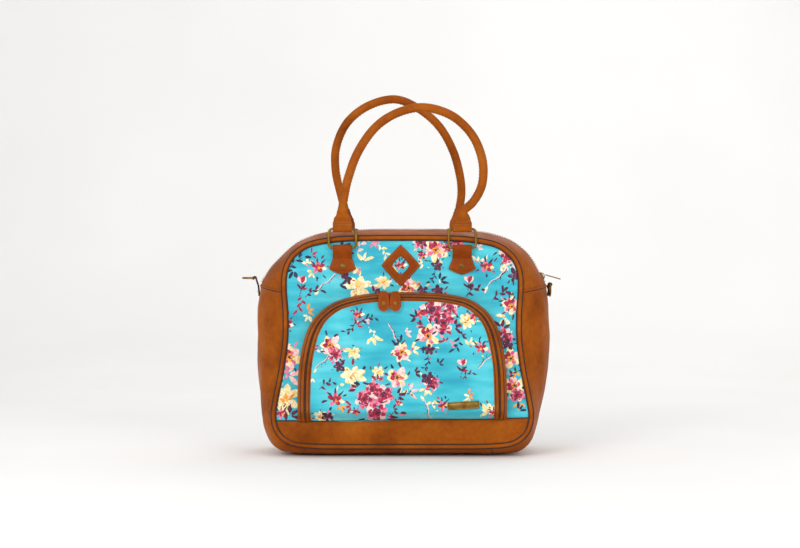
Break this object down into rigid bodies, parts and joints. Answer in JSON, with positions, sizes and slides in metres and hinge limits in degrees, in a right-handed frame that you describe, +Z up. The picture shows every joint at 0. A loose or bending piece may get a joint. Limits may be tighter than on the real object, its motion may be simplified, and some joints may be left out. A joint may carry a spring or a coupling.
{
  "type": "diaper bag",
  "caption": "Zip-top shoulder diaper bag of printed cloth and tan leather-look trim, with an arched zipped front pocket, rolled handles on wire rings and side rings.",
  "frame": {"origin": "middle of the underside, on the ground", "axes": "+Z up, +X to the right seen from the front, the front with the pocket faces -Y"},
  "size_m": [0.4287, 0.1934, 0.482],
  "materials": {
    "printed_cloth": "smooth coated cotton with a painted blossom print",
    "tan_leather": "smooth tan leather-look, soft satin",
    "lining_cloth": "plain woven lining",
    "elastic": "ribbed elastic",
    "board": "cloth-covered stiff board",
    "zip_tape": "dark brown woven tape with a nylon coil",
    "antique_brass": "antique brass, dull"
  },
  "bodies": {
    "bag_body": {"front_panel": "printed_cloth", "back_panel": "printed_cloth", "front_base_band": "tan_leather", "back_base_band": "tan_leather", "side_gusset_left": "tan_leather", "side_gusset_right": "tan_leather", "base_gusset": "tan_leather", "front_piping": "tan_leather", "back_piping": "tan_leather", "lining": "lining_cloth", "base_board": "board", "inner_pocket": "lining_cloth", "inner_pocket_elastic": "elastic", "pocket_gusset": "tan_leather", "pocket_coil_outer": "zip_tape", "zip_end_left": "zip_tape", "zip_end_right": "zip_tape", "side_tab_left": "tan_leather", "side_tab_right": "tan_leather"},
    "mouth_front": {"front_panel_top": "printed_cloth", "front_piping_top": "tan_leather", "front_zip_strip": "tan_leather", "front_zip_coil": "zip_tape", "front_tab_left": "tan_leather", "front_tab_right": "tan_leather", "front_rivet_left": "antique_brass", "front_rivet_right": "antique_brass", "diamond_patch": "tan_leather"},
    "mouth_back": {"back_panel_top": "printed_cloth", "back_piping_top": "tan_leather", "back_zip_strip": "tan_leather", "back_zip_coil": "zip_tape", "back_tab_left": "tan_leather", "back_tab_right": "tan_leather", "back_rivet_left": "antique_brass", "back_rivet_right": "antique_brass"},
    "ring_front_left": {"front_ring_left": "antique_brass"},
    "ring_front_right": {"front_ring_right": "antique_brass"},
    "ring_back_left": {"back_ring_left": "antique_brass"},
    "ring_back_right": {"back_ring_right": "antique_brass"},
    "handle_front": {"front_handle": "tan_leather", "front_handle_end_left": "tan_leather", "front_handle_end_right": "tan_leather"},
    "handle_back": {"back_handle": "tan_leather", "back_handle_end_left": "tan_leather", "back_handle_end_right": "tan_leather"},
    "pocket_flap": {"pocket_panel": "printed_cloth", "pocket_band": "tan_leather", "pocket_coil_inner": "zip_tape", "metal_plate": "antique_brass"},
    "pocket_slider_left_body": {"pocket_slider_left": "antique_brass"},
    "pocket_slider_right_body": {"pocket_slider_right": "antique_brass"},
    "pocket_pull_left_body": {"pocket_pull_left": "tan_leather", "pocket_rivet_left": "antique_brass"},
    "pocket_pull_right_body": {"pocket_pull_right": "tan_leather", "pocket_rivet_right": "antique_brass"},
    "main_slider_body": {"main_slider": "antique_brass"},
    "main_pull_body": {"main_pull": "antique_brass"},
    "side_ring_left_body": {"side_ring_left": "antique_brass"},
    "side_ring_right_body": {"side_ring_right": "antique_brass"}
  },
  "joints": [
    {"name": "open_front", "type": "hinge", "parent": "bag_body", "child": "mouth_front", "pos_m": [0, -0.077, 0.22], "axis": [1, 0, 0], "range_deg": [0, 25]},
    {"name": "open_back", "type": "hinge", "parent": "bag_body", "child": "mouth_back", "pos_m": [0, 0.077, 0.22], "axis": [-1, 0, 0], "range_deg": [0, 25]},
    {"name": "ring_front_left_swing", "type": "hinge", "parent": "mouth_front", "child": "ring_front_left", "pos_m": [-0.078, -0.0815, 0.272], "axis": [1, 0, 0], "range_deg": [-8, 95]},
    {"name": "ring_front_right_swing", "type": "hinge", "parent": "mouth_front", "child": "ring_front_right", "pos_m": [0.078, -0.0815, 0.272], "axis": [1, 0, 0], "range_deg": [-8, 95]},
    {"name": "ring_back_left_swing", "type": "hinge", "parent": "mouth_back", "child": "ring_back_left", "pos_m": [-0.078, 0.0815, 0.272], "axis": [-1, 0, 0], "range_deg": [-8, 95]},
    {"name": "ring_back_right_swing", "type": "hinge", "parent": "mouth_back", "child": "ring_back_right", "pos_m": [0.078, 0.0815, 0.272], "axis": [-1, 0, 0], "range_deg": [-8, 95]},
    {"name": "handle_front_swing", "type": "hinge", "parent": "ring_front_left", "child": "handle_front", "pos_m": [-0.078, -0.0815, 0.2965], "axis": [1, 0, 0], "range_deg": [-13, 55]},
    {"name": "handle_back_swing", "type": "hinge", "parent": "ring_back_left", "child": "handle_back", "pos_m": [-0.078, 0.0815, 0.2965], "axis": [-1, 0, 0], "range_deg": [-13, 55]},
    {"name": "pocket_open", "type": "hinge", "parent": "bag_body", "child": "pocket_flap", "pos_m": [0, -0.0785, 0.048], "axis": [1, 0, 0], "range_deg": [0, 85]},
    {"name": "pocket_slider_left_slide", "type": "slide", "parent": "pocket_flap", "child": "pocket_slider_left_body", "axis": [-1, 0, 0], "range_m": [0, 0.04]},
    {"name": "pocket_slider_right_slide", "type": "slide", "parent": "pocket_flap", "child": "pocket_slider_right_body", "axis": [1, 0, 0], "range_m": [0, 0.055]},
    {"name": "pocket_pull_left_lift", "type": "hinge", "parent": "pocket_slider_left_body", "child": "pocket_pull_left_body", "pos_m": [-0.024, -0.1009, 0.2135], "axis": [-1, 0, 0], "range_deg": [0, 120]},
    {"name": "pocket_pull_right_lift", "type": "hinge", "parent": "pocket_slider_right_body", "child": "pocket_pull_right_body", "pos_m": [-0.009, -0.1009, 0.2135], "axis": [-1, 0, 0], "range_deg": [0, 120]},
    {"name": "main_slider_travel", "type": "hinge", "parent": "bag_body", "child": "main_slider_body", "pos_m": [0.0895, 0, 0.19], "axis": [0, 1, 0], "range_deg": [-62, 0]},
    {"name": "main_pull_swing", "type": "hinge", "parent": "main_slider_body", "child": "main_pull_body", "pos_m": [0.19182, 0, 0.23555], "axis": [0, -1, 0], "range_deg": [-5, 120]},
    {"name": "side_ring_left_swing", "type": "hinge", "parent": "bag_body", "child": "side_ring_left_body", "pos_m": [-0.1987, 0, 0.231], "axis": [0, 1, 0], "range_deg": [-80, 60]},
    {"name": "side_ring_right_swing", "type": "hinge", "parent": "bag_body", "child": "side_ring_right_body", "pos_m": [0.1987, 0, 0.2225], "axis": [0, -1, 0], "range_deg": [0, 80]}
  ],
  "couplings": [
    {"joint": "ring_front_right_swing", "follows": "ring_front_left_swing", "ratio": 1},
    {"joint": "ring_back_right_swing", "follows": "ring_back_left_swing", "ratio": 1}
  ]
}
